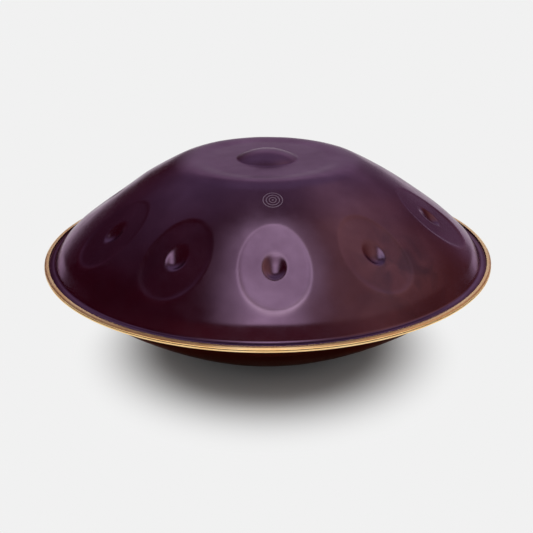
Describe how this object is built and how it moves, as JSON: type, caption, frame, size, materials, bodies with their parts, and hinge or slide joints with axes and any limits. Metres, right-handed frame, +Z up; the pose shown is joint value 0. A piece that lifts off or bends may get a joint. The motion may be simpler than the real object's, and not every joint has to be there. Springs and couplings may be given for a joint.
{
  "type": "handpan",
  "caption": "Handpan of bonded steel shells with hammered tone fields, a domed centre field, a brass-trimmed rim and a port in the base.",
  "frame": {"origin": "centre of the flat land the bottom shell rests on", "axes": "+Z up through the port and the centre field's dome, -Y towards the player's side, where the closely spaced tone fields are"},
  "size_m": [0.5599, 0.56, 0.2416],
  "materials": {
    "plum_steel": "satin, tinted plum",
    "polished_brass": "polished",
    "bond_epoxy": "cured epoxy"
  },
  "bodies": {
    "root": {"top_shell": "plum_steel", "bottom_shell": "plum_steel", "shell_bond": "bond_epoxy", "upper_rim_ring": "polished_brass", "lower_rim_ring": "polished_brass", "upper_ring_adhesive": "bond_epoxy", "lower_ring_adhesive": "bond_epoxy"}
  },
  "joints": []
}
